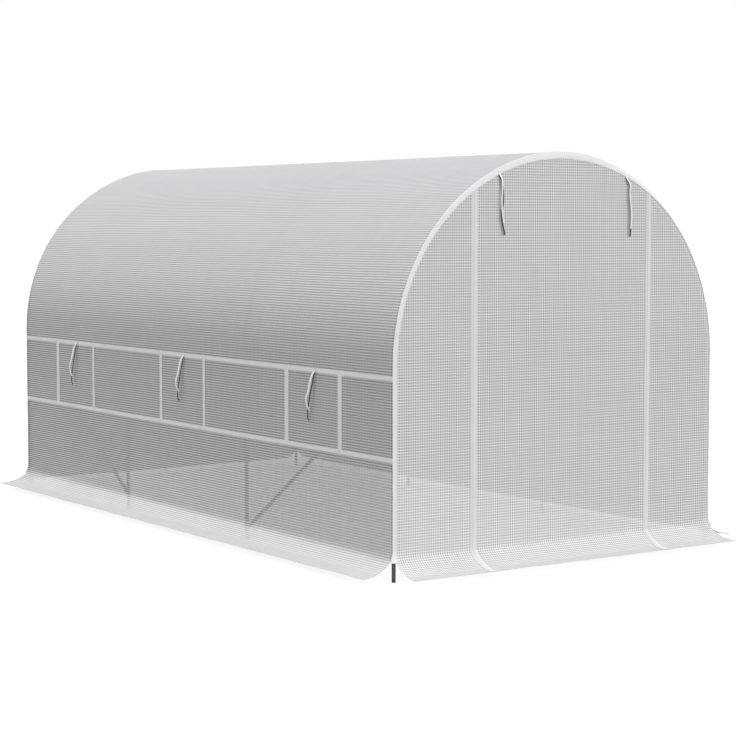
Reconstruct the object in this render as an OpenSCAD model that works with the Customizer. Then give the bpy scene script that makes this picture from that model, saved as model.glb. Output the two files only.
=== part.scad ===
// Walk-in polytunnel greenhouse. Four steel hoops stand under a woven sheet cover with a zipped
// door, six roll-up side windows and flared ground skirts. The door end faces -Y, the length runs
// along Y, and the feet stand on z = 0 around the origin.

/* [Tunnel] */
// Outside width of the cover between its side walls
tunnel_width = 2000; // [1800:50:2400]
// Outside length of the cover between its end walls
tunnel_length = 4000; // [3600:100:5200]
// Height of the upright side walls, up to where the round roof starts
wall_height = 1000; // [980:10:1200]

/* [Frame] */
// Diameter of the steel tubes of hoops, purlins and braces
tube_d = 19; // [16:1:25]
// Height of the plastic cap under each leg
cap_height = 16; // [10:1:30]
// Thickness of a tube's flattened end
tab_t = 3; // [2:0.5:4]
// Length of a tube's flattened end, from its bolt to the full tube
tab_length = 70; // [50:1:100]
// Height of the braces' lower bolts above the ground
brace_low = 90; // [70:1:130]
// How far the braces' upper bolts lie below the top of the walls
brace_drop = 15; // [12:1:60]
// Angle of the side purlins above the level of the wall tops
purlin_angle = 5; // [4:1:30]

/* [Cover] */
// Thickness of the cover's sheets
sheet_t = 3; // [2:0.5:4]
// Thickness of the tapes and bindings on the cover
tape_t = 2; // [1:0.5:3]
// Height of the fold where the skirts leave the walls
fold_height = 110; // [95:1:160]
// How far the skirts reach out from the walls
skirt_reach = 165; // [150:5:250]
// Height of the skirts' hem above the ground
hem_height = 31; // [8:1:40]
// Width of the binding along the edge of the end walls
rim_width = 28; // [20:1:45]

/* [Door] */
// Width of the door between the middles of its two tapes
door_width = 1096; // [900:4:1200]
// How far the door's middle lies to the right of the tunnel's middle
door_shift = 16; // [0:2:60]
// Width of the tapes over the door's zips
door_tape = 34; // [24:1:45]

/* [Windows] */
// Width of a window between the middles of its upright tapes
window_width = 480; // [300:10:640]
// Height of a window between the middles of its lower and upper tapes
window_height = 379; // [260:1:460]
// How far the middle of the windows' upper tape lies below the top of the walls
window_drop = 54; // [40:1:120]
// Width of the tapes around the windows
window_tape = 24; // [20:1:40]
// How far the outer windows lie from the middles of their bays, towards the middle window
window_inset = 12; // [0:2:40]

/* [Ties] */
// Width of the ties that hold a rolled-up door or window
tie_width = 11; // [8:1:15]
// Thickness of a tie
tie_t = 1.6; // [1.2:0.2:2]

/* [Hidden] */
$fn = 96;

steel = "dimgray";
cap_black = "#202224";
sheet_white = "#e4e5e6";
tape_white = "#f4f4f3";
tie_black = "#2b2b2d";

// Room between pieces that lie against each other without being joined
clearance = 0.3;
half_w = tunnel_width / 2;
half_l = tunnel_length / 2;

// Middle line of the hoops, with the cover lying on the tubes
hoop_x = half_w - sheet_t - clearance - tube_d / 2;
hoop_end_y = half_l - sheet_t - clearance - tube_d / 2;
bay_count = 3;
bay_length = 2 * hoop_end_y / bay_count;
function hoop_y(i) = -hoop_end_y + i * bay_length;
function bay_y(i) = hoop_y(i) + bay_length / 2;

// Plane inside the hoops that the flattened tube ends are bolted against
tab_seat = hoop_x - tube_d / 2 - clearance;
tab_layer = tab_t + clearance;
brace_rise = wall_height - brace_drop - brace_low;
brace_length = norm([bay_length, brace_rise]);
brace_tilt = atan(brace_rise / bay_length);

// The skirts' section is one arc that lies level at the hem and meets the wall at the fold
skirt_drop = fold_height - hem_height - sheet_t;
flare_angle = 2 * atan(skirt_drop / skirt_reach);
flare_r = skirt_reach / sin(flare_angle);
flare_z = hem_height + sheet_t + flare_r;
side_skirt_length = tunnel_length - 4 * sheet_t;

// Place of a window along its wall
function window_y(bay) = bay_y(bay) - (bay - (bay_count - 1) / 2) * window_inset;

// Heights of the middles of the windows' tapes
window_high = wall_height - window_drop;
window_low = window_high - window_height;

// The door's zips, as places across the front
zip_left = door_shift - door_width / 2;
zip_right = door_shift + door_width / 2;
rim_r = half_w - rim_width;
tape_top_gap = 12;
function rim_z(x) = wall_height + sqrt(rim_r * rim_r - x * x);
function door_tape_top(x) = rim_z(abs(x) + door_tape / 2) - tape_top_gap;

// Routes of the ties as [along the wall, out from it, up], from where each is sewn on
tie_seat = tie_t / 2 + 0.1;
window_tie_white = [
    [0, tie_seat, 8], [0, tie_seat, -2], [12, 14, -35], [19, 25, -95],
    [30, 33, -141], [26, 30, -175], [14, 24, -199]
];
window_tie_black = [
    [0, tie_seat, -7], [20, 5, -78], [33, 9, -135], [46, 12, -195], [46, 12, -235], [32, 12, -250]
];
left_tie_white = [
    [0, tie_seat, 8], [0, tie_seat, -2], [14, 14, -34], [14, 15, -85],
    [12, 14, -145], [18, 16, -205], [26, 16, -264]
];
left_tie_black = [
    [0, tie_seat, -8], [10, 6, -60], [8, 7, -126], [8, 7, -184], [15, 8, -240], [30, 8, -295]
];
right_tie_white = [
    [0, tie_seat, 8], [0, tie_seat, -2], [16, 14, -41], [15, 14, -84],
    [20, 15, -134], [24, 16, -196], [20, 16, -257]
];
right_tie_black = [
    [0, tie_seat, -8], [18, 6, -52], [16, 7, -100], [18, 7, -160], [20, 8, -245], [20, 8, -297]
];
window_tie_shift = -27;
window_tie_rise = 3;
door_tie_x = [-390, 410];
door_tie_rise = 10;

// Half of a hoop's curve above the legs, as a bent tube
module hoop_arch(i) {
    color(steel)
        translate([0, hoop_y(i), wall_height])
            rotate([90, 0, 0])
                rotate_extrude(angle = 180)
                    translate([hoop_x, 0])
                        circle(d = tube_d);
}

// The four upright legs of the right side
module legs() {
    color(steel)
        for (i = [0 : bay_count])
            translate([hoop_x, hoop_y(i), cap_height])
                cylinder(d = tube_d, h = wall_height - cap_height);
}

module foot_caps() {
    color(cap_black)
        for (i = [0 : bay_count], side = [-1, 1])
            translate([side * hoop_x, hoop_y(i), 0])
                cylinder(d = tube_d, h = cap_height);
}

// Thickness of a bar along its length: flat at both bolts and full between them
module bar_side(length) {
    flat = tab_t / 2;
    full = tube_d / 2 + 1;
    past = tube_d;
    flat_end = tab_length / 2;
    polygon([
        [-flat, -past], [flat, -past], [flat, flat_end], [full, tab_length],
        [full, length - tab_length], [flat, length - flat_end], [flat, length + past],
        [-flat, length + past], [-flat, length - flat_end], [-full, length - tab_length],
        [-full, tab_length], [-flat, flat_end]
    ]);
}

// Face of a bar with its rounded ends
module bar_face(length) {
    translate([-tube_d / 2, 0])
        square([tube_d, length]);
    circle(d = tube_d);
    translate([0, length])
        circle(d = tube_d);
}

// A tube along +Y from bolt to bolt, with its flattened ends lying inside the plane x = 0
module bar(length) {
    translate([-tab_t / 2, 0, 0])
        intersection() {
            translate([0, -tube_d, 0])
                rotate([-90, 0, 0])
                    cylinder(d = tube_d, h = length + 2 * tube_d);
            translate([0, 0, -tube_d])
                linear_extrude(2 * tube_d)
                    bar_side(length);
            translate([-tube_d, 0, 0])
                rotate([0, 90, 0])
                    linear_extrude(2 * tube_d)
                        bar_face(length);
        }
}

// A row of bars from hoop to hoop, bolted inside the arches at an angle above the wall tops.
// The middle bar's ends lie inside its neighbours' ends.
module purlin(angle) {
    color(steel)
        translate([0, 0, wall_height])
            rotate([0, -angle, 0])
                for (bay = [0 : bay_count - 1])
                    translate([tab_seat - (bay % 2) * tab_layer, hoop_y(bay), 0])
                        bar(bay_length);
}

// The right side's two braces, each from an end hoop's shoulder to the next hoop's foot
module braces() {
    color(steel)
        for (end = [0, 1])
            mirror([0, end, 0])
                translate([tab_seat, hoop_y(0), wall_height - brace_drop])
                    rotate([-brace_tilt, 0, 0])
                        bar(brace_length);
}

module upper_half(r) {
    intersection() {
        circle(r, $fn = 360);
        translate([-r, 0])
            square([2 * r, r]);
    }
}

// Outline of an end wall, drawn in by an inset, from a given height up
module end_outline(inset, bottom) {
    r = half_w - inset;
    translate([-r, bottom])
        square([2 * r, wall_height - bottom]);
    translate([0, wall_height])
        upper_half(r);
}

module roof_sheet() {
    color(sheet_white)
        translate([0, 0, wall_height])
            rotate([90, 0, 0])
                linear_extrude(tunnel_length - 2 * sheet_t, center = true)
                    difference() {
                        upper_half(half_w);
                        circle(half_w - sheet_t, $fn = 360);
                    }
}

// The right wall between the fold and the roof, with its three window openings
module wall_sheet() {
    length = tunnel_length - 2 * sheet_t;
    color(sheet_white)
        difference() {
            translate([half_w - sheet_t, -length / 2, fold_height])
                cube([sheet_t, length, wall_height - fold_height]);
            for (bay = [0 : bay_count - 1])
                translate([half_w - 2 * sheet_t, window_y(bay) - window_width / 2, window_low])
                    cube([3 * sheet_t, window_width, window_high - window_low]);
        }
}

// A window's sheet in the right wall, which rolls up from its lower tape
module window_sheet(bay) {
    color(sheet_white)
        translate([half_w - sheet_t, window_y(bay) - window_width / 2 + clearance, window_low + clearance])
            cube([sheet_t, window_width - 2 * clearance, window_high - window_low - 2 * clearance]);
}

// A strip of the front wall between two places across it
module front_strip(from, to) {
    color(sheet_white)
        translate([0, sheet_t - half_l, 0])
            rotate([90, 0, 0])
                linear_extrude(sheet_t)
                    intersection() {
                        end_outline(0, fold_height);
                        translate([from, 0])
                            square([to - from, wall_height + half_w]);
                    }
}

// A band along the skirts' arc between two radii, as [out from the wall, up]
module flare_band(inner, outer) {
    intersection() {
        translate([skirt_reach, flare_z])
            difference() {
                circle(outer, $fn = 180);
                circle(inner, $fn = 180);
            }
        translate([-2 * sheet_t, hem_height - sheet_t])
            square([skirt_reach + 2 * sheet_t, fold_height - hem_height + sheet_t]);
    }
}

// The right side's skirt
module side_skirt() {
    color(sheet_white)
        translate([half_w, 0, 0])
            rotate([90, 0, 0])
                linear_extrude(side_skirt_length, center = true)
                    flare_band(flare_r, flare_r + sheet_t);
}

// A band of the front end's flare between two places across it
module front_flare(from, to, inner, outer) {
    translate([(from + to) / 2, -half_l, 0])
        rotate([90, 0, -90])
            linear_extrude(to - from, center = true)
                flare_band(inner, outer);
}

module front_skirt(from, to) {
    color(sheet_white)
        front_flare(from, to, flare_r, flare_r + sheet_t);
}

// The binding sewn along the edge of the front wall
module rim_binding() {
    color(tape_white)
        translate([0, -half_l, 0])
            rotate([90, 0, 0])
                linear_extrude(tape_t)
                    difference() {
                        end_outline(0, fold_height);
                        end_outline(rim_width, fold_height - sheet_t);
                    }
}

// The tape over one of the door's zips, from under the binding down over the skirt to its hem
module door_zip_tape(x) {
    round_z = door_tape_top(x) - door_tape / 2;
    color(tape_white) {
        translate([x, -half_l, 0])
            rotate([90, 0, 0])
                linear_extrude(tape_t) {
                    translate([-door_tape / 2, fold_height])
                        square([door_tape, round_z - fold_height]);
                    translate([0, round_z])
                        circle(d = door_tape);
                }
        front_flare(x - door_tape / 2, x + door_tape / 2, flare_r - tape_t, flare_r);
    }
}

// The right wall's two long tapes and the upright tapes at both sides of each window
module window_tapes() {
    length = tunnel_length - 2 * sheet_t;
    upright = window_high - window_low - window_tape - 2 * clearance;
    color(tape_white) {
        for (z = [window_low, window_high])
            translate([half_w, -length / 2, z - window_tape / 2])
                cube([tape_t, length, window_tape]);
        for (bay = [0 : bay_count - 1], side = [-1, 1])
            translate([half_w, window_y(bay) + (side * window_width - window_tape) / 2, 0])
                translate([0, 0, window_low + window_tape / 2 + clearance])
                    cube([tape_t, window_tape, upright]);
    }
}

// The corners of a tie's section at one point of its route
function tie_ring(route, i) =
    let (
        last = len(route) - 1,
        run = route[min(i + 1, last)] - route[max(i - 1, 0)],
        ahead = run / norm(run),
        flat = [-run[2], 0, run[0]],
        wide = flat / norm(flat) * tie_width / 2,
        thick = cross(wide / norm(wide), ahead) * tie_t / 2
    )
    [for (corner = [[1, 1], [1, -1], [-1, -1], [-1, 1]])
        route[i] + corner[0] * wide + corner[1] * thick];

// A flat tape swept along a route
module ribbon(route) {
    last = len(route) - 1;
    corners = [for (i = [0 : last]) each tie_ring(route, i)];
    sides = [for (i = [0 : last - 1], k = [0 : 3])
        [4 * i + k, 4 * i + (k + 1) % 4, 4 * i + 4 + (k + 1) % 4, 4 * i + 4 + k]];
    ends = [[3, 2, 1, 0], [for (k = [0 : 3]) 4 * last + k]];
    polyhedron(corners, concat(sides, ends));
}

// A white tape and a black tape that hang together
module tie_pair(white, black) {
    color(tape_white)
        ribbon(white);
    color(tie_black)
        ribbon(black);
}

// The ties of a left window, hanging from its upper tape
module window_tie(bay) {
    translate([-half_w - tape_t, window_y(bay) + window_tie_shift, window_high + window_tie_rise])
        rotate([0, 0, 90])
            tie_pair(window_tie_white, window_tie_black);
}

// The ties of the door, hanging from the binding over it
module door_tie(x, white, black) {
    translate([x, -half_l - tape_t, rim_z(x) + door_tie_rise])
        mirror([0, 1, 0])
            tie_pair(white, black);
}

module left_side() {
    mirror([1, 0, 0])
        children();
}

module back_end() {
    mirror([0, 1, 0])
        children();
}

hoop_arch(0);  // front_arch
hoop_arch(1);  // second_arch
hoop_arch(2);  // third_arch
hoop_arch(3);  // back_arch
left_side() legs();  // left_legs
legs();  // right_legs
foot_caps();
purlin(90);  // ridge_purlin
left_side() purlin(purlin_angle);  // left_purlin
purlin(purlin_angle);  // right_purlin
left_side() braces();  // left_braces
braces();  // right_braces
roof_sheet();
left_side() wall_sheet();  // left_wall_sheet
wall_sheet();  // right_wall_sheet
front_strip(-half_w, zip_left - clearance);  // front_left_panel
front_strip(zip_left, zip_right);  // front_door
front_strip(zip_right + clearance, half_w);  // front_right_panel
back_end() front_strip(-half_w, half_w);  // back_panel
left_side() side_skirt();  // left_skirt
side_skirt();  // right_skirt
back_end() front_skirt(-half_w, half_w);  // back_skirt
front_skirt(-half_w, zip_left - clearance);  // front_left_skirt
front_skirt(zip_left, zip_right);  // door_skirt
front_skirt(zip_right + clearance, half_w);  // front_right_skirt
rim_binding();  // front_rim_binding
back_end() rim_binding();  // back_rim_binding
door_zip_tape(zip_left);  // door_left_tape
door_zip_tape(zip_right);  // door_right_tape
left_side() window_tapes();  // left_window_tapes
window_tapes();  // right_window_tapes
left_side() window_sheet(0);  // left_front_window
left_side() window_sheet(1);  // left_middle_window
left_side() window_sheet(2);  // left_back_window
window_sheet(0);  // right_front_window
window_sheet(1);  // right_middle_window
window_sheet(2);  // right_back_window
door_tie(door_tie_x[0], left_tie_white, left_tie_black);  // door_left_tie
door_tie(door_tie_x[1], right_tie_white, right_tie_black);  // door_right_tie
window_tie(0);  // left_front_tie
window_tie(1);  // left_middle_tie
window_tie(2);  // left_back_tie
left_side() window_tie(0);  // right_front_tie
left_side() window_tie(1);  // right_middle_tie
left_side() window_tie(2);  // right_back_tie
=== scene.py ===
"""Looks of a walk-in polytunnel greenhouse: a white woven cover over a steel tube frame.

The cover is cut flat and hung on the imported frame. Every cloth piece is a grid of points in metres of
flat cloth, kept as its UV map so that the weave and the stitches follow the cloth, and a hanging
function puts each point in its place.
"""

import math

import bpy
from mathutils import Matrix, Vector


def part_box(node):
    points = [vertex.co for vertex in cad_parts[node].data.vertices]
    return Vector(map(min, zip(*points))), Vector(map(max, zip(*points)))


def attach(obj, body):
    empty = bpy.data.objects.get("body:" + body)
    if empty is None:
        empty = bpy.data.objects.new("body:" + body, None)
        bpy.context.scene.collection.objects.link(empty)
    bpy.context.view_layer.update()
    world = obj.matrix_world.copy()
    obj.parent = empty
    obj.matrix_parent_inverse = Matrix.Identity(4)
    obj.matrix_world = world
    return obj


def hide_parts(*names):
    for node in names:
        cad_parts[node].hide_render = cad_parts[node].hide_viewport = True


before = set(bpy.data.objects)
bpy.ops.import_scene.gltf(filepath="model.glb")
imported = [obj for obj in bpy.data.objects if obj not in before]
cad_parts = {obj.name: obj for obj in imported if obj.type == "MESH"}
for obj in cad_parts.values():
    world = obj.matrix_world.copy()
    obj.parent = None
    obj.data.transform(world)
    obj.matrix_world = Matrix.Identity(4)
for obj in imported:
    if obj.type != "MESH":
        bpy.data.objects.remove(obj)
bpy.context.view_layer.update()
bpy.context.scene.view_settings.view_transform = "Standard"

bays = ("front", "middle", "back")
arch_names = ("front_arch", "second_arch", "third_arch", "back_arch")
steel_names = (*arch_names, "left_legs", "right_legs", "ridge_purlin", "left_purlin", "right_purlin",
               "left_braces", "right_braces")

# Sizes from the frame, in metres
wall_low, wall_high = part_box("left_wall_sheet")
door_low, door_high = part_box("front_door")
skirt_low, skirt_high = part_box("right_skirt")
half_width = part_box("roof_sheet")[1].x
half_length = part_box("roof_sheet")[1].y
end_y = -door_low.y
sheet_t = door_high.y - door_low.y
spring_z = wall_high.z
fold_z = wall_low.z
skirt_reach = skirt_high.x - half_width
hem_z = skirt_low.z

# The cloth hangs in the middle of the solids' thickness
cover_r = half_width - sheet_t / 2
cover_y = end_y - sheet_t / 2
quarter_run = cover_r * math.pi / 2
wall_run = spring_z - fold_z

# The skirt's section is one arc that leaves the wall at a fold and ends level at the hem
skirt_drop = fold_z - hem_z
flare_r = (skirt_reach ** 2 + skirt_drop ** 2) / (2 * skirt_drop)
flare_turn = math.asin(skirt_reach / flare_r)
flare_z = hem_z + flare_r
skirt_run = flare_r * flare_turn
half_cut = quarter_run + wall_run + skirt_run

hoops = [sum(corner.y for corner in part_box(name)) / 2 for name in arch_names]
bay_length = hoops[1] - hoops[0]

# The cloth sags between the hoops, but not along the taut ridge, where a crease from its packing
# lifts it over a range of angles, and it has shallow waves in its hems and its walls
bay_sag = 0.004
taut_ridge = 0.6
ridge_lift = 0.007
ridge_turn = 0.4
hem_wave = 0.0012
ripple_height = 0.0009
ripple_starts = 0.2

# Widths of the welded hems
side_hem = 0.088
end_hem = 0.060

# The cloth turns into a skirt over a bend that is soft near the skirt's ends and crisp between them
end_bend = 0.045
side_bend = 0.012
bend_fade = 0.25

# Near its ends a skirt lies loose: its corners are pulled on past the wall's end, and one is laid out
loose_length = 0.5
side_pull = 0.105
end_pull = 0.060
corner_spread = 0.030

# The cover ends under the binding
cover_end = half_length - 0.003

# Longest steps between the points of a piece's grid
arc_step = math.radians(2.5)
tape_step = 0.05
wall_step = 0.04
cloth_step = 0.03
hem_step = 0.02
skirt_step = 0.012
bend_step = 0.009
corner_step = 0.008

# Lengths that differ by less count as equal, and faces that turn by less look smooth
hair = 1e-6
crease = math.radians(42)


# Camera, solved from the photograph's outline and feet


def add_camera():
    """The photograph's viewpoint: a long lens from the front left, at a standing person's eye height."""
    camera = bpy.data.cameras.new("photo_camera")
    camera.sensor_width = 36
    camera.lens = 95.78
    viewpoint = bpy.data.objects.new("photo_camera", camera)
    viewpoint.location = (-6.1514, -9.3322, 1.6621)
    viewpoint.rotation_euler = (math.radians(90 - 4.2355), 0, math.radians(-34.3528))
    bpy.context.collection.objects.link(viewpoint)
    bpy.context.scene.camera = viewpoint


add_camera()


# Cloth helpers


def deselect():
    """Nothing is selected, so that an operator acts on the new piece alone."""
    if bpy.context.object and bpy.context.object.mode != "OBJECT":
        bpy.ops.object.mode_set(mode="OBJECT")
    bpy.ops.object.select_all(action="DESELECT")


def select_alone(piece):
    """One piece is selected and active."""
    deselect()
    piece.select_set(True)
    bpy.context.view_layer.objects.active = piece


def stations(marks, step):
    """Places from the first mark to the last, on every mark and at most a step apart."""
    places = [marks[0]]
    for start, end in zip(marks, marks[1:]):
        parts = max(1, math.ceil((end - start) / step - hair))
        places += [start + (end - start) * (k + 1) / parts for k in range(parts)]
    return places


def lay_cloth(name, pattern, hang):
    """Cuts a flat grid to a pattern of (u, v) metres, row by row, and hangs each point of it."""
    rows, columns = len(pattern), len(pattern[0])
    deselect()
    bpy.ops.mesh.primitive_grid_add(x_subdivisions=columns - 1, y_subdivisions=rows - 1,
                                    calc_uvs=False)
    cloth = bpy.context.object
    cloth.name = name
    mesh = cloth.data
    mesh.name = name
    flat = [point for row in pattern for point in row]
    for vertex, (u, v) in zip(mesh.vertices, flat):
        vertex.co = hang(u, v)
    cut = mesh.uv_layers.new(name="cut")
    for loop in mesh.loops:
        cut.data[loop.index].uv = flat[loop.vertex_index]
    return cloth


def apply_modifier(piece, kind, **settings):
    """Adds a modifier to a piece, sets it and applies it."""
    select_alone(piece)
    modifier = piece.modifiers.new(kind.lower(), kind)
    for key, value in settings.items():
        setattr(modifier, key, value)
    bpy.ops.object.modifier_apply(modifier=modifier.name)


def finish_piece(piece, material, slot, *nodes):
    """Smooths a piece up to its creases, gives it its finish, and lets it stand for its CAD nodes."""
    select_alone(piece)
    bpy.ops.object.shade_smooth_by_angle(angle=crease)
    piece.data.materials.clear()
    piece.data.materials.append(material)
    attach(piece, "root")
    if nodes:
        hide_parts(*nodes)
    return piece


# How the cover hangs


def ripple(a, b):
    """Long shallow waves in stretched cloth, between -1 and 1."""
    return (0.5 * math.sin(7.1 * a + 3.3 * b + 0.4) + 0.3 * math.sin(9.7 * b - 4.3 * a + 1.3)
            + 0.2 * math.sin(14.9 * a - 12.1 * b + 2.2))


def flare(run, bend):
    """Reach, height and outward direction on a skirt, at a run of cloth below the fold.

    The cloth turns from the wall into the skirt's arc over a bend that lies at both sides of the fold.
    """
    turn = flare_turn - max(run, bend) / flare_r
    on_arc = Vector((skirt_reach - flare_r * math.sin(turn), flare_z - flare_r * math.cos(turn)))
    if run >= bend:
        return on_arc.x, on_arc.y, Vector((math.sin(turn), math.cos(turn)))
    t = (run + bend) / (2 * bend)
    above, fold = Vector((0, fold_z + bend)), Vector((0, fold_z))
    point = (1 - t) ** 2 * above + 2 * t * (1 - t) * fold + t * t * on_arc
    slope = (1 - t) * (fold - above) + t * (on_arc - fold)
    return point.x, point.y, Vector((-slope.y, slope.x)).normalized()


def loose(from_end, pull, on_skirt):
    """How far a skirt is pulled off its straight lie near one of its ends, more towards its hem."""
    return pull * on_skirt ** 1.5 * max(0.0, 1 - from_end / loose_length) ** 2


def bend_at(from_end):
    """Half the length of a skirt's bend, at a distance from the skirt's nearer end."""
    return side_bend + (end_bend - side_bend) * max(0.0, 1 - max(0.0, from_end) / bend_fade) ** 2


def crown(turn):
    """How far the crease along the ridge lifts the cloth off the hoops, at an angle from the ridge."""
    return ridge_lift * math.exp(-(turn / ridge_turn) ** 2)


def section(across, bend=side_bend):
    """Point and outward direction of the cover's cross section, at a run of cloth from the ridge."""
    run = abs(across)
    below_fold = run - quarter_run - wall_run
    if run <= quarter_run:
        turn = run / cover_r
        out = Vector((math.sin(turn), math.cos(turn)))
        point = Vector((0, spring_z + crown(turn))) + out * cover_r
    elif below_fold <= -bend:
        out = Vector((1, 0))
        point = Vector((cover_r, fold_z - below_fold))
    else:
        reach, height, out = flare(below_fold, bend)
        point = Vector((cover_r + reach, height))
    side = math.copysign(1, across)
    return Vector((side * point.x, point.y)), Vector((side * out.x, out.y))


def on_tunnel(across, along, lift=0.0):
    """A point of the roof, a side wall or a side skirt: the cloth sags a little between two hoops."""
    point, out = section(across, bend_at(cover_end - abs(along)))
    on_skirt = max(0.0, abs(across) - quarter_run - wall_run) / skirt_run
    in_bay = (along - hoops[0]) / bay_length
    slack = math.sin(math.pi * in_bay) ** 2 if abs(along) < hoops[-1] else 0.0
    sag = bay_sag * min(1.0, abs(across) / taut_ridge)
    shape = slack * (ripple_height * ripple(across, along) - sag) * (1 - on_skirt)
    shape += hem_wave * on_skirt ** 2 * ripple(1.7 * along, across)
    point = point + out * (shape + lift)
    spread = loose(cover_end + along, corner_spread, on_skirt) if across > 0 else 0.0
    return Vector((point.x + spread, along + loose(cover_end - along, side_pull, on_skirt), point.y))


def on_front(x, up, lift=0.0):
    """A point of the front wall or its skirt, where up is the height above ground along the cloth."""
    below_fold = fold_z - up
    bend = bend_at(half_width - abs(x))
    if below_fold <= -bend:
        rippled = max(0.0, min(1.0, (-below_fold - end_bend) / ripple_starts))
        return Vector((x, -cover_y - lift - rippled * ripple_height * ripple(x, up), up))
    reach, height, out = flare(below_fold, bend)
    on_skirt = max(0.0, below_fold) / skirt_run
    lift += hem_wave * on_skirt ** 2 * ripple(1.7 * x, up)
    return Vector((x + loose(half_width - x, end_pull, on_skirt), -cover_y - reach - lift * out.x,
                   height + lift * out.y))


def on_back(x, up, lift=0.0):
    """A point of the back wall or its skirt: the front turned half round."""
    point = on_front(x, up, lift)
    return Vector((-point.x, -point.y, point.z))


def wall_run_at(z):
    """Run of cloth from the ridge down to a height on a side wall."""
    return quarter_run + spring_z - z


# Materials


def linear(colour):
    """A colour written as sRGB hex, as the linear values that a shader takes."""
    parts = [int(colour[k:k + 2], 16) / 255 for k in (1, 3, 5)]
    return [c / 12.92 if c <= 0.04045 else ((c + 0.055) / 1.055) ** 2.4 for c in parts] + [1.0]


def start_material(name):
    """A new material without nodes, and its node tree."""
    material = bpy.data.materials.new(name)
    material.use_nodes = True
    material.node_tree.nodes.clear()
    return material, material.node_tree


def add(tree, kind, inputs=None, **settings):
    """Adds a node, sets it, and gives each input a value or a link, by its name or its number.

    A Mix node's inputs are 0 for its factor, 2 and 3 for two numbers, and 6 and 7 for two colours.
    """
    node = tree.nodes.new(kind)
    for key, value in settings.items():
        setattr(node, key, value)
    for key, value in (inputs or {}).items():
        if isinstance(value, bpy.types.NodeSocket):
            tree.links.new(value, node.inputs[key])
        else:
            node.inputs[key].default_value = value
    return node


# The sheet's bundles of threads are 13.1 mm apart, as they show on the front wall, and 6.4 mm wide
weave_pitch = 0.0131
thread_half = 0.0032
thread_edge = 0.0010

# Further from the arch's middle than any cloth reaches
everywhere = 9.0


def cover_zones(tree, across, along):
    """Where a point of the cover lies, from its runs of cloth across and along the tunnel.

    Gives five masks: the side walls, the side skirts, the strips of the walls on the end legs, the
    upper part of the roof, and all that lies above the lower window tapes.
    """
    wall_starts, wall_full = quarter_run - 0.45, quarter_run + 0.06
    fold = quarter_run + wall_run
    skirt_starts, skirt_full = fold - 0.004, fold + 0.024
    ridge_ends, eaves_start = 0.6, 1.3
    back_strip, front_strip = 0.025, 0.012
    run = add(tree, "ShaderNodeMath", {0: across}, operation="ABSOLUTE").outputs[0]
    below_roof = add(tree, "ShaderNodeMapRange", {"Value": run, "From Min": wall_starts,
                                                  "From Max": wall_full},
                     interpolation_type="SMOOTHSTEP").outputs[0]
    skirt = add(tree, "ShaderNodeMapRange", {"Value": run, "From Min": skirt_starts,
                                             "From Max": skirt_full},
                interpolation_type="SMOOTHSTEP").outputs[0]
    wall = add(tree, "ShaderNodeMath", {0: below_roof, 1: skirt}, operation="SUBTRACT",
               use_clamp=True).outputs[0]
    back_leg = add(tree, "ShaderNodeMath", {0: along, 1: half_length - back_strip},
                   operation="GREATER_THAN").outputs[0]
    front_leg = add(tree, "ShaderNodeMath", {0: along, 1: front_strip - half_length},
                    operation="LESS_THAN").outputs[0]
    at_leg = add(tree, "ShaderNodeMath", {0: back_leg, 1: front_leg}, operation="ADD").outputs[0]
    leg_tube_shade = add(tree, "ShaderNodeMath", {0: wall, 1: at_leg}, operation="MULTIPLY").outputs[0]
    roof = add(tree, "ShaderNodeMapRange", {"Value": run, "From Min": ridge_ends,
                                            "From Max": eaves_start, "To Min": 1.0,
                                            "To Max": 0.0}).outputs[0]
    lower_tape = wall_run_at(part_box("left_front_window")[0].z)
    upper = add(tree, "ShaderNodeMath", {0: run, 1: lower_tape}, operation="LESS_THAN").outputs[0]
    return wall, skirt, leg_tube_shade, roof, upper


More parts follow.
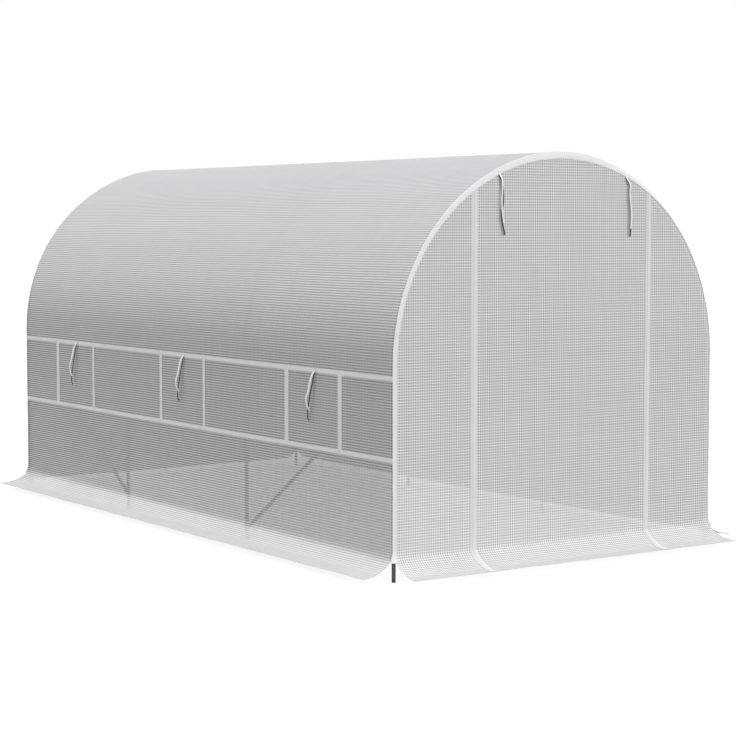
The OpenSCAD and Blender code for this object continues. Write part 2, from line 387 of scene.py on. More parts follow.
def woven_polyethylene(name, thread_colours, film_colour, film_share, upper_film_share=None,
                       across_weight=0.5, roof_shade_tone="#ffffff", wall_shade_tone="#ffffff",
                       ground_tone="#ffffff", roof_closing=0.0, single_within=everywhere):
    """Woven polyethylene sheet: white slit threads in a square grid, laminated in clear frosted film.

    Threads that cross are nearly opaque, and the film between them lets the far side show, so the eye
    gets a pale net with grey dots. Light comes through it, and each thread differs a little in tone.

    A film share says how much of the light doesn't go straight through the film, and the cover has a
    second one for all above its lower window tapes. The weight says how much of the net's tone comes
    from the threads that lie across the first direction of the cut. A tone of painted shade each goes
    over the roof's top and over the side walls, to darken them as the light falls, and a tone near the
    ground is dust. The skirts and the ridge are stretched until the threads close up. The film on the
    end legs is painted dark grey, a painted shade for their dark tubes behind it. An end sheet is a
    single layer within a distance from the arch's middle, and beyond it is doubled, so that its hoop
    doesn't show.
    """
    skirt_closing, dust_full, dust_ends = 0.6, 0.045, 0.09
    material, tree = start_material(name)
    cut = add(tree, "ShaderNodeUVMap", uv_map="cut")
    flat = add(tree, "ShaderNodeSeparateXYZ", {0: cut.outputs[0]})
    bands, tones = [], []
    for axis, weight in (("X", across_weight), ("Y", 1 - across_weight)):
        off_thread = add(tree, "ShaderNodeMath", {0: flat.outputs[axis], 1: weave_pitch / 2},
                         operation="PINGPONG")
        band = add(tree, "ShaderNodeMapRange",
                   {"Value": off_thread.outputs[0], "From Min": thread_half - thread_edge,
                    "From Max": thread_half + thread_edge, "To Min": weight, "To Max": 0.0},
                   interpolation_type="SMOOTHSTEP")
        bands.append(band.outputs[0])
        count = add(tree, "ShaderNodeMath", {0: flat.outputs[axis], 1: weave_pitch}, operation="SNAP")
        tone = add(tree, "ShaderNodeTexWhiteNoise", {"W": count.outputs[0]}, noise_dimensions="1D")
        tones.append(tone.outputs[0])
    threads = add(tree, "ShaderNodeMath", {0: bands[0], 1: bands[1]}, operation="ADD").outputs[0]
    both_tones = add(tree, "ShaderNodeMath", {0: tones[0], 1: tones[1]}, operation="ADD").outputs[0]
    place = add(tree, "ShaderNodeTexCoord")
    clouds = add(tree, "ShaderNodeTexNoise", {"Vector": place.outputs["Object"], "Scale": 2.5,
                                              "Detail": 3.0})
    cloudy = add(tree, "ShaderNodeMath", {0: both_tones, 1: clouds.outputs[0]}, operation="ADD")
    thread_tone = add(tree, "ShaderNodeMapRange", {"Value": cloudy.outputs[0], "From Min": 0.5,
                                                   "From Max": 2.5})
    thread_colour = add(tree, "ShaderNodeMix", {0: thread_tone.outputs[0],
                                                6: linear(thread_colours[0]),
                                                7: linear(thread_colours[1])}, data_type="RGBA")
    wall, skirt, leg_tube_shade, roof, upper = cover_zones(tree, flat.outputs["X"], flat.outputs["Y"])
    # Painted shade: over the end legs the film is painted dark grey, standing in for the dark tube
    # behind it
    film = add(tree, "ShaderNodeMix", {0: leg_tube_shade, 6: linear(film_colour), 7: linear("#5e5e60")},
               data_type="RGBA").outputs[2]
    at_skirt = add(tree, "ShaderNodeMath", {0: skirt, 1: skirt_closing}, operation="MULTIPLY").outputs[0]
    closing = add(tree, "ShaderNodeMath", {0: roof, 1: roof_closing, 2: at_skirt},
                  operation="MULTIPLY_ADD").outputs[0]
    closed = add(tree, "ShaderNodeMix", {0: closing, 2: threads,
                                         3: 2 * thread_half / weave_pitch}).outputs[0]
    net = add(tree, "ShaderNodeMix", {0: closed, 6: film, 7: thread_colour.outputs[2]},
              data_type="RGBA").outputs[2]
    # Painted shade: one tone darkens the roof's top and another darkens the side walls, for how the
    # light falls on them
    net_with_roof_shade = add(tree, "ShaderNodeMix", {0: roof, 6: net, 7: linear(roof_shade_tone)}, data_type="RGBA",
                     blend_type="MULTIPLY").outputs[2]
    net_with_wall_shade = add(tree, "ShaderNodeMix", {0: wall, 6: net_with_roof_shade, 7: linear(wall_shade_tone)},
                data_type="RGBA", blend_type="MULTIPLY").outputs[2]
    height = add(tree, "ShaderNodeSeparateXYZ", {0: place.outputs["Object"]}).outputs["Z"]
    low = add(tree, "ShaderNodeMapRange", {"Value": height, "From Min": dust_full,
                                           "From Max": dust_ends, "To Min": 1.0,
                                           "To Max": 0.0}).outputs[0]
    colour = add(tree, "ShaderNodeMix", {0: low, 6: net_with_wall_shade, 7: linear(ground_tone)}, data_type="RGBA",
                 blend_type="MULTIPLY").outputs[2]
    film_solid = add(tree, "ShaderNodeMix", {0: upper, 2: film_share,
                                             3: upper_film_share or film_share})
    one_layer = add(tree, "ShaderNodeMapRange", {"Value": threads, "To Min": film_solid.outputs[0],
                                                 "To Max": 1.0})
    over_spring = add(tree, "ShaderNodeMath", {0: flat.outputs["Y"], 1: spring_z},
                      operation="SUBTRACT")
    on_arch = add(tree, "ShaderNodeMath", {0: over_spring.outputs[0], 1: 0.0}, operation="MAXIMUM")
    spoke = add(tree, "ShaderNodeCombineXYZ", {0: flat.outputs["X"], 1: on_arch.outputs[0]})
    from_middle = add(tree, "ShaderNodeVectorMath", {0: spoke.outputs[0]}, operation="LENGTH")
    doubled = add(tree, "ShaderNodeMath", {0: from_middle.outputs["Value"], 1: single_within},
                  operation="GREATER_THAN")
    solid_share = add(tree, "ShaderNodeMath", {0: one_layer.outputs[0], 1: doubled.outputs[0]},
                      operation="MAXIMUM")
    relief = add(tree, "ShaderNodeBump", {"Height": threads, "Strength": 0.5, "Distance": 0.0004})
    body = add(tree, "ShaderNodeBsdfPrincipled", {"Base Color": colour, "Roughness": 0.66, "IOR": 1.5,
                                                  "Normal": relief.outputs[0]})
    glow = add(tree, "ShaderNodeBsdfTranslucent", {"Color": colour})
    cloth = add(tree, "ShaderNodeMixShader", {0: 0.11, 1: body.outputs[0], 2: glow.outputs[0]})
    clear = add(tree, "ShaderNodeBsdfTransparent")
    mixed = add(tree, "ShaderNodeMixShader", {0: solid_share.outputs[0], 1: clear.outputs[0],
                                              2: cloth.outputs[0]})
    add(tree, "ShaderNodeOutputMaterial", {0: mixed.outputs[0]})
    return material


def woven_tape(name, seams, colours=("#ebeaec", "#f6f5f7")):
    """Woven polyester tape: opaque white with fine ribs across it and rows of stitches along it.

    The stitches are a little darker than the tape, 5 mm long, and run at the given places across it,
    each row with half its width. Near the ground the tape is a little dusty.
    """
    material, tree = start_material(name)
    cut = add(tree, "ShaderNodeUVMap", uv_map="cut")
    flat = add(tree, "ShaderNodeSeparateXYZ", {0: cut.outputs[0]})
    # Ribs are 2 mm here, twice their real pitch, so that they show
    rib_half = 0.001
    stitch_pitch, stitch_length = 0.006, 0.005
    dust_full, dust_ends = 0.09, 0.16
    rib = add(tree, "ShaderNodeMath", {0: flat.outputs["Y"], 1: rib_half}, operation="PINGPONG")
    rib_height = add(tree, "ShaderNodeMapRange", {"Value": rib.outputs[0], "From Max": rib_half})
    place = add(tree, "ShaderNodeTexCoord")
    soil = add(tree, "ShaderNodeTexNoise", {"Vector": place.outputs["Object"], "Scale": 9.0,
                                            "Detail": 4.0})
    tone = add(tree, "ShaderNodeMath", {0: rib_height.outputs[0], 1: 0.35}, operation="MULTIPLY")
    mixed_tone = add(tree, "ShaderNodeMath", {0: tone.outputs[0], 1: soil.outputs[0]}, operation="ADD")
    ribbed = add(tree, "ShaderNodeMix", {0: mixed_tone.outputs[0], 6: linear(colours[0]),
                                         7: linear(colours[1])}, data_type="RGBA")
    along = add(tree, "ShaderNodeMath", {0: flat.outputs["Y"], 1: stitch_pitch},
                operation="FLOORED_MODULO")
    stitch = add(tree, "ShaderNodeMath", {0: along.outputs[0], 1: stitch_length},
                 operation="LESS_THAN").outputs[0]
    sewn = 0.0
    for place_across, half_row in seams:
        off_seam = add(tree, "ShaderNodeMath", {0: flat.outputs["X"], 1: place_across, 2: half_row},
                       operation="COMPARE")
        sewn = add(tree, "ShaderNodeMath", {0: off_seam.outputs[0], 1: stitch, 2: sewn},
                   operation="MULTIPLY_ADD").outputs[0]
    height = add(tree, "ShaderNodeSeparateXYZ", {0: place.outputs["Object"]}).outputs["Z"]
    dust = add(tree, "ShaderNodeMapRange", {"Value": height, "From Min": dust_full,
                                            "From Max": dust_ends, "To Min": 1.0, "To Max": 0.0},
               interpolation_type="SMOOTHSTEP")
    dusty = add(tree, "ShaderNodeMix", {0: dust.outputs[0], 6: ribbed.outputs[2],
                                        7: linear("#edecee")}, data_type="RGBA")
    colour = add(tree, "ShaderNodeMix", {0: sewn, 6: dusty.outputs[2], 7: linear("#c9c8cb")},
                 data_type="RGBA")
    relief = add(tree, "ShaderNodeBump", {"Height": rib_height.outputs[0], "Strength": 0.4,
                                          "Distance": 0.0003})
    body = add(tree, "ShaderNodeBsdfPrincipled", {"Base Color": colour.outputs[2], "Roughness": 0.75,
                                                  "IOR": 1.5, "Normal": relief.outputs[0]})
    glow = add(tree, "ShaderNodeBsdfTranslucent", {"Color": linear("#efeff0")})
    cloth = add(tree, "ShaderNodeMixShader", {0: 0.12, 1: body.outputs[0], 2: glow.outputs[0]})
    add(tree, "ShaderNodeOutputMaterial", {0: cloth.outputs[0]})
    return material


def hook_and_loop(name, dark, light):
    """Nylon hook and loop tape: a matt pile of tiny loops, which catches light along its edges."""
    material, tree = start_material(name)
    place = add(tree, "ShaderNodeTexCoord")
    # Loops are 1.5 mm here, three times their real size, so that they show
    pile = add(tree, "ShaderNodeTexVoronoi", {"Vector": place.outputs["Object"], "Scale": 1 / 0.0015})
    colour = add(tree, "ShaderNodeMix", {0: pile.outputs["Distance"], 6: linear(dark),
                                         7: linear(light)}, data_type="RGBA")
    relief = add(tree, "ShaderNodeBump", {"Height": pile.outputs["Distance"], "Strength": 0.6,
                                          "Distance": 0.0004})
    body = add(tree, "ShaderNodeBsdfPrincipled", {"Base Color": colour.outputs[2], "Roughness": 0.85,
                                                  "IOR": 1.5, "Sheen Weight": 0.2,
                                                  "Normal": relief.outputs[0]})
    add(tree, "ShaderNodeOutputMaterial", {0: body.outputs[0]})
    return material


def powder_coated_steel():
    """Powder coated steel tube: dark grey, satin, with the fine orange peel of baked powder.

    Its feet are painted darker, a painted shade for the skirts' corners over them.
    """
    material, tree = start_material("powder_coated_steel")
    place = add(tree, "ShaderNodeTexCoord")
    # Painted shade: the tube is painted darker towards its foot, fully below 8 cm, under the skirts
    foot_shade_full, foot_shade_ends = 0.08, 0.13
    # Orange peel is 4 mm here, twice its real size, so that it shows
    peel = add(tree, "ShaderNodeTexNoise", {"Vector": place.outputs["Object"], "Scale": 1 / 0.004,
                                            "Detail": 2.0})
    wear = add(tree, "ShaderNodeTexNoise", {"Vector": place.outputs["Object"], "Scale": 14.0,
                                            "Detail": 5.0})
    coat = add(tree, "ShaderNodeMix", {0: wear.outputs[0], 6: linear("#747578"), 7: linear("#85868a")},
               data_type="RGBA")
    height = add(tree, "ShaderNodeSeparateXYZ", {0: place.outputs["Object"]}).outputs["Z"]
    shaded_feet = add(tree, "ShaderNodeMapRange", {"Value": height, "From Min": foot_shade_full, "From Max": foot_shade_ends,
                                           "To Min": 1.0, "To Max": 0.0},
              interpolation_type="SMOOTHSTEP")
    colour = add(tree, "ShaderNodeMix", {0: shaded_feet.outputs[0], 6: coat.outputs[2], 7: linear("#47484a")},
                 data_type="RGBA")
    gloss = add(tree, "ShaderNodeMapRange", {"Value": wear.outputs[0], "To Min": 0.34, "To Max": 0.5})
    relief = add(tree, "ShaderNodeBump", {"Height": peel.outputs[0], "Strength": 0.15,
                                          "Distance": 0.0005})
    body = add(tree, "ShaderNodeBsdfPrincipled", {"Base Color": colour.outputs[2], "IOR": 1.5,
                                                  "Roughness": gloss.outputs[0],
                                                  "Normal": relief.outputs[0]})
    add(tree, "ShaderNodeOutputMaterial", {0: body.outputs[0]})
    return material


def moulded_plastic():
    """Moulded black polyethylene: matt, with the faint grain of the mould and dust on it."""
    material, tree = start_material("moulded_black_polyethylene")
    place = add(tree, "ShaderNodeTexCoord")
    # Grain is 1.2 mm here, several times its real size, so that it shows
    grain = add(tree, "ShaderNodeTexNoise", {"Vector": place.outputs["Object"], "Scale": 1 / 0.0012,
                                             "Detail": 2.0})
    dust = add(tree, "ShaderNodeTexNoise", {"Vector": place.outputs["Object"], "Scale": 40.0,
                                            "Detail": 4.0})
    colour = add(tree, "ShaderNodeMix", {0: dust.outputs[0], 6: linear("#2c2c2e"),
                                         7: linear("#464649")}, data_type="RGBA")
    relief = add(tree, "ShaderNodeBump", {"Height": grain.outputs[0], "Strength": 0.3,
                                          "Distance": 0.0003})
    body = add(tree, "ShaderNodeBsdfPrincipled", {"Base Color": colour.outputs[2], "Roughness": 0.6,
                                                  "IOR": 1.5, "Normal": relief.outputs[0]})
    add(tree, "ShaderNodeOutputMaterial", {0: body.outputs[0]})
    return material


doubled_edge = 0.030
end_cloth = woven_polyethylene("woven_polyethylene_end_sheet", ("#f0f0f1", "#fafafa"), "#bfbfc0",
                               film_share=0.82, ground_tone="#f5f4f6",
                               single_within=half_width - doubled_edge)
# The cover's roof and wall tones are painted shade
cover_cloth = woven_polyethylene("woven_polyethylene_cover", ("#f0eff1", "#faf9fb"), "#aeadaf",
                                 film_share=0.78, upper_film_share=0.94, across_weight=0.8,
                                 roof_shade_tone="#f8f7f9", wall_shade_tone="#e6e6e6", roof_closing=0.4)
side_hem_cloth = woven_polyethylene("welded_polyethylene_side_hem", ("#dad9db", "#e0dfe1"), "#d7d6d8",
                                    film_share=0.95)
end_hem_cloth = woven_polyethylene("welded_polyethylene_end_hem", ("#d4d3d5", "#dad9db"), "#d1d0d2",
                                   film_share=0.95)
window_tape_cloth = woven_tape("woven_polyester_window_tape", ((-0.009, 0.0006), (0.009, 0.0006)),
                               ("#faf9fc", "#fffeff"))
zip_tape_cloth = woven_tape("woven_polyester_zip_tape",
                            ((-0.014, 0.0006), (-0.005, 0.0016), (0.014, 0.0006)))
binding_cloth = woven_tape("woven_polyester_binding", ((0.004, 0.0006),), ("#f2f1f3", "#fcfbfd"))
white_loops = hook_and_loop("white_nylon_loop_tape", "#ededee", "#fbfbfb")
black_hooks = hook_and_loop("black_nylon_hook_tape", "#1e1e20", "#343437")
tube_coat = powder_coated_steel()
cap_plastic = moulded_plastic()


# Ties over the windows and the door: a white loop tape and a black hook tape hang from one seam

tie_width = 0.009
tie_t = 0.0012

# A tie's seam lies on a tape's outer face, and half a solid tie's width inside that solid's box
seam_out = 0.002
seam_inset = 0.0055

# Run of a tie below its seam over which it turns
turning_run = 0.05

# Routes in metres: along the wall, out from it, up from the seam
window_tie_routes = {
    "white": [(0, 0.0009, 0.008), (0, 0.0009, -0.002), (0.012, 0.014, -0.035), (0.019, 0.025, -0.095),
              (0.030, 0.033, -0.141), (0.026, 0.030, -0.175), (0.014, 0.024, -0.199)],
    "black": [(0, 0.0009, -0.007), (0.020, 0.005, -0.078), (0.033, 0.009, -0.135),
              (0.046, 0.012, -0.195), (0.046, 0.012, -0.235), (0.032, 0.012, -0.250)],
}
left_tie_routes = {
    "white": [(0, 0.0009, 0.008), (0, 0.0009, -0.002), (0.009, 0.014, -0.034), (0.009, 0.015, -0.085),
              (0.007, 0.014, -0.145), (0.011, 0.016, -0.195), (0.017, 0.016, -0.240)],
    "black": [(0, 0.0009, -0.008), (0.014, 0.006, -0.046), (0.021, 0.007, -0.095),
              (0.020, 0.007, -0.145), (0.012, 0.007, -0.195), (0.016, 0.008, -0.240),
              (0.030, 0.008, -0.295)],
}
right_tie_routes = {
    "white": [(0, 0.0009, 0.008), (0, 0.0009, -0.002), (0.016, 0.014, -0.041), (0.015, 0.014, -0.084),
              (0.020, 0.015, -0.134), (0.024, 0.016, -0.196), (0.020, 0.016, -0.257)],
    "black": [(0, 0.0009, -0.008), (0.021, 0.006, -0.050), (0.023, 0.007, -0.100),
              (0.028, 0.007, -0.160), (0.029, 0.008, -0.210), (0.021, 0.008, -0.297)],
}

# How far each tie turns its edge out from the wall, in degrees, below its seam and at its free end
window_tie_turns = {"white": (55, 5), "black": (0, 0)}
door_tie_turns = {"white": (0, -10), "black": (-12, -12)}


def smooth_route(points, steps=4):
    """A smooth curve through a route's points, with a few steps between each two of them."""
    ends = [2 * points[0] - points[1], *points, 2 * points[-1] - points[-2]]
    curve = []
    for before, start, end, after in zip(ends, ends[1:], ends[2:], ends[3:]):
        for k in range(steps):
            t = k / steps
            curve.append(0.5 * (2 * start + (end - before) * t
                                + (2 * before - 5 * start + 4 * end - after) * t * t
                                + (3 * start - before - 3 * end + after) * t ** 3))
    return [*curve, points[-1]]


def hang_tie(node, colour, route, seam, along, out, turns):
    """One tie of a pair as a flat tape along its route, which turns its edge out from the wall.

    The tape turns to the first angle just below the seam, and on to the second at its free end.
    """
    up = Vector((0, 0, 1))
    line = smooth_route([seam + along * a + out * b + up * c for a, b, c in route])
    runs = [0.0]
    for start, end in zip(line, line[1:]):
        runs.append(runs[-1] + (end - start).length)

    def place(u, v):
        k = min(range(len(runs)), key=lambda i: abs(runs[i] - v))
        ahead = (line[min(k + 1, len(line) - 1)] - line[max(k - 1, 0)]).normalized()
        below_seam = min(1.0, v / turning_run)
        turn = math.radians(turns[0] * below_seam + (turns[1] - turns[0]) * v / runs[-1])
        wide = along * math.cos(turn) + out * math.sin(turn)
        return line[k] + (wide - ahead * wide.dot(ahead)).normalized() * u

    half = tie_width / 2
    pattern = [[(u, v) for u in (-half, -half / 2, 0, half / 2, half)] for v in runs]
    tie = lay_cloth(f"{node}_{colour}", pattern, place)
    apply_modifier(tie, "SOLIDIFY", thickness=tie_t, offset=0)
    finish_piece(tie, white_loops if colour == "white" else black_hooks, "tie_tape", node)


def hang_ties():
    """Three pairs of ties on each side wall and two on the front wall, at their CAD nodes' seams."""
    seam_drop = window_tie_routes["white"][0][2]
    for side, out in (("left", Vector((-1, 0, 0))), ("right", Vector((1, 0, 0)))):
        for bay in bays:
            low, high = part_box(f"{side}_{bay}_tie")
            seam = Vector((out.x * (half_width + seam_out), low.y + seam_inset, high.z - seam_drop))
            for colour, route in window_tie_routes.items():
                hang_tie(f"{side}_{bay}_tie", colour, route, seam, Vector((0, 1, 0)), out,
                         window_tie_turns[colour])
    for side, routes in (("left", left_tie_routes), ("right", right_tie_routes)):
        low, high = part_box(f"door_{side}_tie")
        seam = Vector((low.x + seam_inset, -end_y - seam_out, high.z - seam_drop))
        for colour, route in routes.items():
            hang_tie(f"door_{side}_tie", colour, route, seam, Vector((1, 0, 0)), Vector((0, -1, 0)),
                     door_tie_turns[colour])


hang_ties()


# The cover's sheets


def window_edges(side, bay):
    """A window's place: its two ends along the wall, its lower and its upper edge.

    The gap between a window's solid and the wall's is closed.
    """
    low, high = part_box(f"{side}_{bay}_window")
    gap = 0.0003
    return low.y - gap, high.y + gap, low.z - gap, high.z + gap


hem_t = 0.0005
hem_gap = 0.0003


def weld_hem(name, material, pattern, hang):
    """The doubled edge of a skirt, welded flat on its upper side."""
    hem = lay_cloth(name, pattern, lambda u, v: hang(u, v, hem_gap))
    apply_modifier(hem, "SOLIDIFY", thickness=hem_t, offset=1)
    return finish_piece(hem, material, "woven_sheet")


def make_tunnel_cover():
    """Roof, side walls and side skirts as one sheet, with the six window openings cut out of it."""
    windows = [window_edges("left", bay) for bay in bays]
    _, _, low_z, high_z = windows[0]
    fold = quarter_run + wall_run
    skirt_side = stations([fold - end_bend, fold - side_bend, fold + side_bend, fold + end_bend,
                           half_cut - side_hem, half_cut], skirt_step)
    wall_side = stations([quarter_run, wall_run_at(high_z), wall_run_at(low_z), fold - end_bend],
                         wall_step)
    roof_side = stations([0, quarter_run], arc_step * cover_r)
    right_half = roof_side + wall_side[1:] + skirt_side[1:]
    hem_side = stations([half_cut - side_hem, half_cut], hem_step)
    columns = [-run for run in reversed(right_half[1:])] + right_half
    window_ends = sorted(edge for window in windows for edge in window[:2])
    rows = stations(sorted([-cover_end, *hoops[1:-1], *window_ends, cover_end]), cloth_step)
    cover = lay_cloth("tunnel_cover", [[(u, v) for u in columns] for v in rows], on_tunnel)
    bpy.ops.object.mode_set(mode="EDIT")
    bpy.ops.mesh.select_mode(type="FACE")
    bpy.ops.mesh.select_all(action="DESELECT")
    bpy.ops.object.mode_set(mode="OBJECT")
    for face in cover.data.polygons:
        x, y, z = face.center
        on_wall = abs(x) > cover_r - 0.02
        in_window = any(start < y < end for start, end, _, _ in windows)
        face.select = on_wall and in_window and low_z < z < high_z
    bpy.ops.object.mode_set(mode="EDIT")
    bpy.ops.mesh.delete(type="FACE")
    bpy.ops.object.mode_set(mode="OBJECT")
    finish_piece(cover, cover_cloth, "woven_sheet", "roof_sheet", "left_wall_sheet", "right_wall_sheet",
                 "left_skirt", "right_skirt")
    weld_hem("left_hem", side_hem_cloth,
                                   [[(-u, v) for u in reversed(hem_side)] for v in rows], on_tunnel)
    weld_hem("right_hem", side_hem_cloth,
                                   [[(u, v) for u in hem_side] for v in rows], on_tunnel)


def make_windows():
    """A sheet in each window opening, which hangs from the upper tape."""
    for side, sign in (("left", -1), ("right", 1)):
        for bay in bays:
            start, end, low_z, high_z = window_edges(side, bay)
            edges = sorted([sign * wall_run_at(low_z), sign * wall_run_at(high_z)])
            columns = stations(edges, cloth_step)
            pattern = [[(u, v) for u in columns] for v in stations([start, end], cloth_step)]
            window = lay_cloth(f"{side}_{bay}_window_sheet", pattern, on_tunnel)
            finish_piece(window, cover_cloth, "woven_sheet", f"{side}_{bay}_window")


# The binding is narrow at one leg, gains width up to the arch's far side, and loses some at that leg
rim_narrow = 0.005
rim_gain = 0.0235
rim_loss = 0.0065


def rim_width(turn):
    """Width of an end's binding, at an angle from the ridge: 22 mm at one leg and 5 mm at the other."""
    share = turn / (math.pi / 2)
    pulled_over = 1 / (1 + math.exp(10 * (share - 0.34)))
    narrowed = max(0.0, min(1.0, (-share - 0.3) / 0.3))
    return rim_narrow + rim_gain * pulled_over - rim_loss * narrowed + crown(turn)


def end_edge(turn):
    """A point of an end sheet's round edge, under the binding, at an angle from the ridge."""
    edge_r = half_width - rim_width(turn) / 2
    return edge_r * math.sin(turn), spring_z + crown(turn) + edge_r * math.cos(turn)


def make_end_sheet(name, turn_from, turn_to, hang, *nodes):
    """One panel of an end wall with its skirt, from the arch down to the hem."""
    edge = [end_edge(turn) for turn in stations([turn_from, turn_to], arc_step)]
    hem_top = fold_z - skirt_run + end_hem
    bend_top = fold_z + end_bend
    skirt_rows = stations([fold_z - skirt_run, hem_top, fold_z - end_bend, fold_z - side_bend,
                           fold_z + side_bend, bend_top], bend_step)
    steps = 44
    pattern = [[(x, up) for x, _ in edge] for up in skirt_rows]
    pattern += [[(x, bend_top + (top - bend_top) * k / steps) for x, top in edge]
                for k in range(1, steps + 1)]
    panel = lay_cloth(name, pattern, hang)
    finish_piece(panel, end_cloth, "woven_sheet", *nodes)
    hem_rows = [up for up in skirt_rows if up <= hem_top + hair]
    hem = weld_hem(name.replace("sheet", "hem"), end_hem_cloth,
                   [[(x, up) for x, _ in edge] for up in hem_rows], hang)


def turn_at(x):
    """Angle from the ridge of the place on an end sheet's round edge over a place across the tunnel."""
    low, high = -math.pi / 2, math.pi / 2
    halvings = 40
    for _ in range(halvings):
        middle = (low + high) / 2
        low, high = (middle, high) if end_edge(middle)[0] < x else (low, middle)
    return (low + high) / 2


make_tunnel_cover()
make_windows()
door_left, door_right = turn_at(door_low.x), turn_at(door_high.x)
make_end_sheet("front_left_sheet", -math.pi / 2, door_left, on_front, "front_left_panel",
               "front_left_skirt")
make_end_sheet("front_door_sheet", door_left, door_right, on_front, "front_door", "door_skirt")
make_end_sheet("front_right_sheet", door_right, math.pi / 2, on_front, "front_right_panel",
               "front_right_skirt")
make_end_sheet("back_sheet", -math.pi / 2, math.pi / 2, on_back, "back_panel", "back_skirt")


# Tapes

tape_t = 0.0012
long_tape_width = 0.022
upright_width = 0.026
wide_upright_width = 0.034
wide_uprights = (("front", "front"), ("front", "back"), ("back", "back"))

# A tape's edges lie on the cloth, and its middle and a tape over another stand off it
edge_inset = 0.002
flat_inset = 0.003
edge_gap = 0.0004
middle_rise = 0.0005
over_tape = 0.0014


def sew_tape(name, material, pattern, hang, *nodes):
    """A tape on the cover's outside: a strip of the pattern with a little thickness."""
    tape = lay_cloth(name, pattern, hang)
    apply_modifier(tape, "SOLIDIFY", thickness=tape_t, offset=1)
    return finish_piece(tape, material, "white_tape", *nodes)


def tape_columns(width):
    """Places across a tape: its edges are a little lower than its flat middle."""
    half = width / 2
    return [-half, -half + edge_inset, -half + flat_inset, 0, half - flat_inset, half - edge_inset, half]


def seat(offset, width):
    """How far a tape's inner face lies off the cover's cloth, at a place across the tape."""
    from_edge = width / 2 - abs(offset)
    return edge_gap + middle_rise * min(1.0, from_edge / edge_inset)


def sew_window_tapes():
    """Two long tapes on each side wall, and one at each end of every window."""
    for side, sign in (("left", -1), ("right", 1)):
        node = f"{side}_window_tapes"
        low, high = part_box(node)
        _, _, low_z, high_z = window_edges(side, "front")
        columns = tape_columns(long_tape_width)
        for name, z in (("lower", low_z), ("upper", high_z)):
            centre = sign * wall_run_at(z)
            pattern = [[(u, v) for u in columns] for v in stations([low.y, high.y], tape_step)]
            sew_tape(f"{side}_{name}_tape", window_tape_cloth, pattern,
                     lambda u, v, c=centre: on_tunnel(c + u, v, seat(u, long_tape_width)), node)
        for bay in bays:
            start, end, _, _ = window_edges(side, bay)
            upright_top = high_z + long_tape_width / 2 + edge_inset
            ends = sorted([sign * wall_run_at(low_z), sign * wall_run_at(upright_top)])
            runs = stations(ends, wall_step)
            for place, y in (("front", start), ("back", end)):
                wide = wide_upright_width if (bay, place) in wide_uprights else upright_width
                pattern = [[(u, v) for u in tape_columns(wide)] for v in runs]
                sew_tape(f"{side}_{bay}_{place}_upright_tape", window_tape_cloth, pattern,
                         lambda u, v, c=y, w=wide: on_tunnel(v, c - u, seat(u, w) + over_tape), node)


def arch_top(x):
    """Height of the inner edge of an end's binding, over a place across the tunnel."""
    inner_r = half_width - rim_width(turn_at(x))
    return spring_z + math.sqrt(inner_r ** 2 - x ** 2)


def sew_door_tapes():
    """A tape over each of the door's zips, from the arch's binding down to the skirt's hem."""
    for side in ("left", "right"):
        node = f"door_{side}_tape"
        low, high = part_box(node)
        centre, width = (low.x + high.x) / 2, high.x - low.x
        hem_top = fold_z - skirt_run + end_hem
        bend_top = fold_z + end_bend
        off_hem = hem_top + 0.005
        rows = stations([hem_top - end_hem, hem_top, off_hem, fold_z - end_bend, fold_z - side_bend,
                         fold_z + side_bend, bend_top], bend_step)
        pattern = [[(u, v) for u in tape_columns(width)] for v in rows]
        steps = 40
        pattern += [[(u, bend_top + (arch_top(centre + u) - bend_top) * k / steps)
                     for u in tape_columns(width)] for k in range(1, steps + 1)]

        def place(u, v):
            over_hem = hem_t + hem_gap if v <= hem_top + 0.001 else 0.0
            return on_front(centre + u, v, seat(u, width) + over_hem)

        sew_tape(node.replace("tape", "zip_tape"), zip_tape_cloth, pattern, place, node)


corner_run = 0.022


def sew_binding(name, node, turn):
    """The binding over an end wall's edge: up one leg, over the arch and down the other.

    Its section leans back a little from the end wall to the hoop, more on the arch than at the legs,
    and has a short return on the cover. Its ends are mitred over the corners of the skirts.
    """
    edge = quarter_run + wall_run
    steps = 6
    strip = 0.006
    stand_off = 0.0008
    proud = 0.0012
    returns = ((stand_off, 0.001), (0.0002, 0.003))
    widths = [strip * k for k in range(steps + len(returns) + 1)]

    def place(u, v):
        k = round(u / strip)
        share = max(-1.0, min(1.0, v / quarter_run))
        width = rim_width(share * math.pi / 2)
        depth = 0.001 + 0.004 * (1 - abs(share))
        if k <= steps:
            out_by = (width + stand_off) * k / steps - width
            in_by = (depth + proud) * (k / steps) ** 1.3 - proud
        else:
            out_by, further_in = returns[k - steps - 1]
            in_by = depth + further_in
        point, out = section(math.copysign(min(abs(v), edge - end_bend), v))
        point = point + out * (sheet_t / 2 + out_by)
        along = in_by - end_y
        if abs(v) > edge - end_bend:
            reach, height, _ = flare(abs(v) - edge, end_bend)
            point.x += math.copysign(reach * min(1.0, 1 + out_by / width), v)
            point.y = height
            along -= reach * max(0.0, 1 - max(0.0, in_by) / (depth + returns[-1][1]))
        return Vector((turn * point.x, turn * along, point.y))

    corner = stations([edge - end_bend, edge + corner_run], corner_step)
    runs = [-v for v in reversed(corner[1:])]
    runs += stations([-edge + end_bend, -quarter_run, quarter_run, edge - end_bend], wall_step)
    runs += corner[1:]
    pattern = [[(u, v) for u in widths] for v in runs]
    sew_tape(name, binding_cloth, pattern, place, node)


sew_window_tapes()
sew_door_tapes()
sew_binding("front_binding", "front_rim_binding", 1)
sew_binding("back_binding", "back_rim_binding", -1)


# The frame keeps its solids and gets its finish

for node in steel_names:
    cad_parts[node].data.materials.clear()
    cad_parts[node].data.materials.append(tube_coat)
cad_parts["foot_caps"].data.materials.clear()
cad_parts["foot_caps"].data.materials.append(cap_plastic)


# Studio


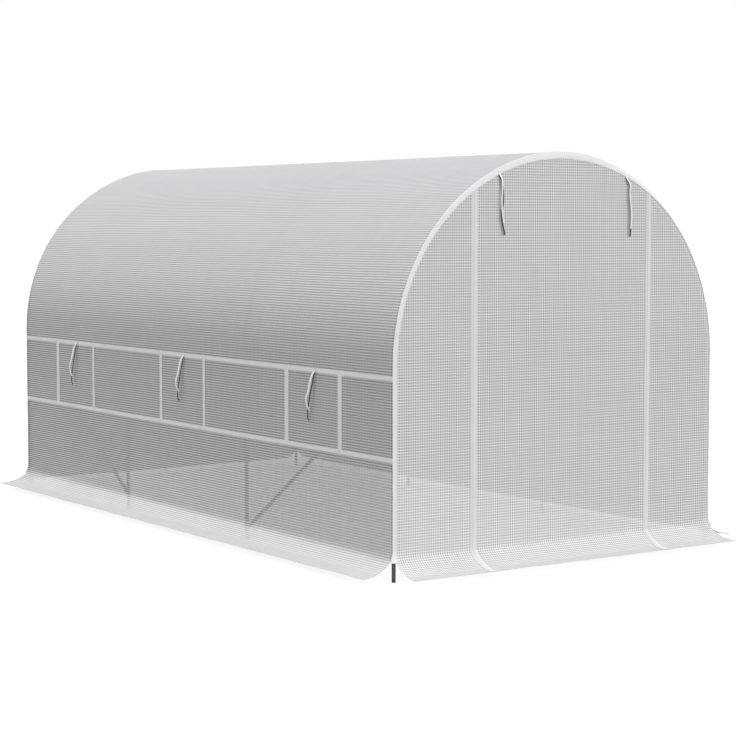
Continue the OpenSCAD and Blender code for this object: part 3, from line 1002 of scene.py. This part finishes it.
def seen_directly(tree):
    """1 for rays from the eye, straight or by way of metal and glass."""
    path = add(tree, "ShaderNodeLightPath")
    mirrored = add(tree, "ShaderNodeMath", {0: path.outputs["Is Glossy Ray"],
                                            1: path.outputs["Is Transmission Ray"]}, operation="MAXIMUM")
    return add(tree, "ShaderNodeMath", {0: path.outputs["Is Camera Ray"], 1: mirrored.outputs[0]},
               operation="MAXIMUM").outputs[0]


def make_floor():
    """A pale floor, white to the eye where nothing shades it."""
    floor_size = 120
    own_white = 0.87
    deselect()
    bpy.ops.mesh.primitive_plane_add(size=floor_size)
    floor = bpy.context.object
    floor.name = "studio_floor"
    material, tree = start_material("studio_floor_paint")
    paint = add(tree, "ShaderNodeBsdfDiffuse", {"Color": linear("#a9a9a9")})
    lit = add(tree, "ShaderNodeMath", {0: seen_directly(tree), 1: own_white}, operation="MULTIPLY")
    white = add(tree, "ShaderNodeEmission", {"Strength": lit.outputs[0]})
    both = add(tree, "ShaderNodeAddShader", {0: paint.outputs[0], 1: white.outputs[0]})
    add(tree, "ShaderNodeOutputMaterial", {0: both.outputs[0]})
    floor.data.materials.append(material)


def light_studio():
    """A white surround, a lamp overhead, and broad soft lamps from the front and from the left."""
    world = bpy.data.worlds.new("studio_surround")
    bpy.context.scene.world = world
    world.use_nodes = True
    tree = world.node_tree
    tree.nodes.clear()
    level = add(tree, "ShaderNodeMapRange", {"Value": seen_directly(tree), "To Min": 0.28,
                                             "To Max": 1.0})
    surround = add(tree, "ShaderNodeBackground", {"Color": linear("#ffffff"),
                                                  "Strength": level.outputs[0]})
    add(tree, "ShaderNodeOutputWorld", {0: surround.outputs[0]})
    for name, strength, spread, forward, sideways in (("overhead_lamp", 1.61, 10, 0, -3.5),
                                                      ("front_lamp", 1.57, 60, 65, 0),
                                                      ("side_lamp", 0.64, 90, 0, -60)):
        lamp = bpy.data.lights.new(name, "SUN")
        lamp.energy = strength
        lamp.angle = math.radians(spread)
        holder = bpy.data.objects.new(name, lamp)
        holder.rotation_euler = (math.radians(forward), math.radians(sideways), 0)
        bpy.context.collection.objects.link(holder)


make_floor()
light_studio()
